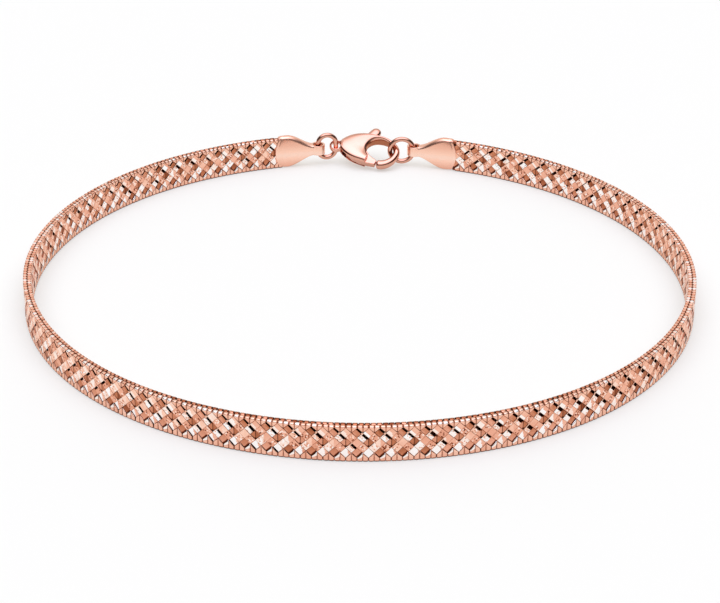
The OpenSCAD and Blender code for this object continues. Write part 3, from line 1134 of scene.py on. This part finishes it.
def clasp_section(place, shrink=1.0, back=0.0):
    angle = rim_angle(place)
    near = eye_reach(angle)
    half_w = (rim_at(rim_reach, place) - near) / 2
    share = rim_at(rim_share, place)
    half_t = share * clasp_t / 2
    r = min(cheek_edge_r + edge_growth * (1 - share), half_w * most_round, half_t * most_round)
    outline = section_outline(half_w, half_t, r)
    reach = near + half_w + outline[:, 0] * shrink
    x = eye[0] + reach * math.cos(angle) - back * math.sin(angle)
    y = eye[1] + reach * math.sin(angle) + back * math.cos(angle)
    crown = 1 - face_crown * share ** 4 * (outline[:, 0] / half_w) ** 2
    thin = thin_tip_share + (1 - thin_tip_share) * smooth_step((x - thin_tip_x) / (full_body_x - thin_tip_x))
    return np.stack([x, y, outline[:, 1] * shrink * crown * thin], 1)


def clasp_blank():
    rounding = ((0.50, -0.24), (0.78, -0.17), (0.94, -0.07))
    sections = [clasp_section(0, shrink, back) for shrink, back in rounding]
    sections += [clasp_section(i / rim_steps) for i in range(rim_last * rim_steps + 1)]
    n = len(sections[0])
    faces = tube_faces(len(sections), n, closed=False, flip=True)
    faces.append(list(range(n - 1, -1, -1)))
    faces.append([(len(sections) - 1) * n + j for j in range(n)])
    return rough_shape("clasp_casting", np.concatenate(sections), faces)


print("a section has", len(section_outline(1, 1, 0.4)), "points")

# %% Cutting the clasp's channel
channel_half = 0.5
spine_w = 0.7
eye_wall = 0.36
shaded_reach = 1.1
shaded_half = 0.62
pivot = np.array([-1.4, -0.9])
wall_angles = np.radians(np.arange(170, 121, -12))
spine_places = np.arange(10.5, 15.6, 0.5)
channel_outline = [(1.3, -4), (1.3, -0.6), (0.4, 0.02)]
channel_outline += [polar(eye, eye_reach(a) + eye_wall, a) for a in wall_angles]
channel_outline += [polar(eye, rim_at(rim_reach, p) - spine_w, rim_angle(p)) for p in spine_places]
channel_outline += [(-3.02, 0.05), (-3.40, -0.30), (-4.3, -0.8), (-4.3, -4)]
cheek_end_outline = [(0.46, -0.72), (0.34, -1.45), (0.10, -2.10), (-0.08, -2.90), (1.6, -2.90), (1.6, -0.72)]
slit_from_pivot = (2.4, 6)
slit_angles = np.radians(np.linspace(47, 94, 7))
slit_outline = [polar(pivot, slit_from_pivot[0], a) for a in slit_angles[::-1]]
slit_outline += [polar(pivot, slit_from_pivot[1], a) for a in slit_angles]


def cutter(outline, half):
    return rough_shape("cutter", *prism(outline, half))


def eyelet_loop():
    """The rounded loop at the tip."""
    angles = np.linspace(0, 2 * math.pi, 20, endpoint=False)
    wall = [(eyelet_mid_r + eyelet_wall / 2 * math.cos(a), eyelet_t / 2 * math.sin(a)) for a in angles]
    points, faces = lathe(wall, 64)
    points = np.array(points) + (*eyelet_at, 0)
    return rough_shape("eyelet", points, faces)


def in_the_eye(middles):
    """True for the faces of the wall round the eye, which take the painted shade."""
    x = (middles[:, 0] - eye[0]) / eye_half_w
    y = (middles[:, 1] - eye[1]) / eye_half_h
    return (np.hypot(x, y) < shaded_reach) & (abs(middles[:, 2]) < shaded_half)


casting = clasp_blank()
round_hole = [polar(eyelet_at, eyelet_mid_r, a) for a in np.linspace(0, 2 * math.pi, 64, endpoint=False)]
combine(casting, cutter(round_hole, tip_slot_t / 2), "DIFFERENCE")
combine(casting, eyelet_loop(), "UNION")
combine(casting, cutter(channel_outline, channel_half), "DIFFERENCE")
combine(casting, cutter(slit_outline, channel_half), "DIFFERENCE")
combine(casting, cutter(cheek_end_outline, 2), "DIFFERENCE")
clasp_body = cast(casting, clasp_voxel, 5, from_clasp, [polished, painted_eye_shade], shaded=in_the_eye)
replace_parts(clasp_body, "clasp_body")

# %% [markdown]
# The lever is stamped from plate: a gate arm that closes the hook, and a thumb tab that stands up
# through the slit. It is the one piece that turns, so it rides on a body of its own.

# %% The lever
gate_r = 3.22
lever_half_t = 0.44
lever_outline = [(-2.72, -0.92), (-1.85, -1.60), (-0.70, -2.10), (0.40, -2.30), (1.40, -2.40)]
lever_outline += [polar(pivot, gate_r, a) for a in np.radians(np.arange(-27, -12, 3))]
lever_outline += [(1.55, -1.58), (1.10, -1.32), (0.55, -0.84), (0.24, -0.36), (-0.05, -0.10), (-0.35, 0.30)]
lever_outline += [(-0.42, 0.90), (-0.15, 1.38), (0.40, 1.86), (1.05, 2.35), (1.46, 2.90), (1.66, 3.50)]
lever_outline += [(1.55, 3.80), (1.25, 3.98), (0.82, 3.99), (0.50, 3.84), (0.25, 3.46), (0.02, 2.80)]
lever_outline += [(-0.50, 1.95), (-1.20, 1.10), (-2.00, 0.55), (-2.55, -0.10)]
tab_ends = np.array([(0.26, 2.25), (1.02, 3.26)])
tab_r = 0.74


def thumb_tab():
    """A pill laid along the tab, as deep as the plate is thick."""
    reach = tab_ends[1] - tab_ends[0]
    length = math.hypot(*reach)
    rounding = np.radians(np.linspace(0, 90, 8))
    profile = [(tab_r * math.sin(a) + 0.001, length + tab_r * math.cos(a)) for a in rounding]
    profile += [(tab_r * math.cos(a) + 0.001, -tab_r * math.sin(a)) for a in rounding]
    points, faces = lathe(profile, 32)
    along, across = reach / length, np.array([reach[1], -reach[0]]) / length
    placed = [(*(tab_ends[0] + y * along + x * across), z * lever_half_t / tab_r) for x, z, y in points]
    return rough_shape("thumb_tab", placed, faces)


lever_shape = rough_shape("lever", *prism(lever_outline, lever_half_t))
combine(lever_shape, cutter([(-1, 2.3), (3, 2.3), (3, 5), (-1, 5)], 2), "DIFFERENCE")
combine(lever_shape, thumb_tab(), "UNION")
lever = cast(lever_shape, clasp_voxel, 6, from_clasp, [polished], "lever")
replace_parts(lever, "clasp_lever")
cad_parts["clasp_pin"].data.materials.clear()
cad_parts["clasp_pin"].data.materials.append(polished)
print("the pin stays as the model gives it")

# %% [markdown]
# The anklet stands on its edge on a plain pale floor. Polished metal shows its surroundings, so
# the room does most of the work: a broad bright ceiling that leans towards the camera, a softer
# light at the back and dim sides. They are drawn into the sky with the same shader maths as the
# metals, and each fades into the next between two limits.

# %% Floor
floor_half = 1500
floor_drop = 0.02
sides = (-floor_half, floor_half)
floor_corners = [(x, y, -floor_drop) for x in sides for y in sides]
floor = make_piece("floor", floor_corners, [[0, 2, 3, 1]], [])
floor_material = bpy.data.materials.new("pale_floor")
floor_material.use_nodes = True
floor_shader = floor_material.node_tree.nodes["Principled BSDF"]
floor_shader.inputs["Base Color"].default_value = (0.475, 0.48, 0.42, 1)
floor_shader.inputs["Roughness"].default_value = 1.0
floor_shader.inputs["Specular IOR Level"].default_value = 0.0
floor_shader.inputs["Emission Strength"].default_value = 0.455
floor.data.materials.append(floor_material)
print("floor", 2 * floor_half, "mm wide")

# %% Room light
world = bpy.data.worlds.new("studio")
bpy.context.scene.world = world
world.use_nodes = True
world.node_tree.nodes.clear()
sky = Shade(world.node_tree)
ceiling_light = 2.5
back_light = 0.9
front_light = 0.1
horizon_light = 0.32
side_loss = 0.8
ceiling_up = 0.97
ceiling_forward = 0.26
direction = sky.node("ShaderNodeTexCoord", output="Generated")
east = sky.node("ShaderNodeSeparateXYZ", None, {0: direction}, output="X")
north = east.also("Y")
height = east.also("Z")
ceiling = (ceiling_up * height - ceiling_forward * north).between(0.64, 0.98)
behind = north.between(-0.2, 0.3)
sideways = abs(east).between(0.60, 0.75)
front = front_light + horizon_light * (1.0 - height.between(0.0, 0.5))
walls = (front + (back_light - front) * behind) * (1.0 - side_loss * sideways)
brightness = walls * (1.0 - ceiling) + ceiling_light * ceiling
colours = {0: ceiling, 6: (1, 1, 1, 1), 7: (1, 0.98, 1.22, 1)}
tint = sky.node("ShaderNodeMix", {"data_type": "RGBA"}, colours, output=2)
background = sky.node("ShaderNodeBackground", None, {"Color": tint, "Strength": brightness})
sky.node("ShaderNodeOutputWorld", None, {"Surface": background})
print("room light ready")
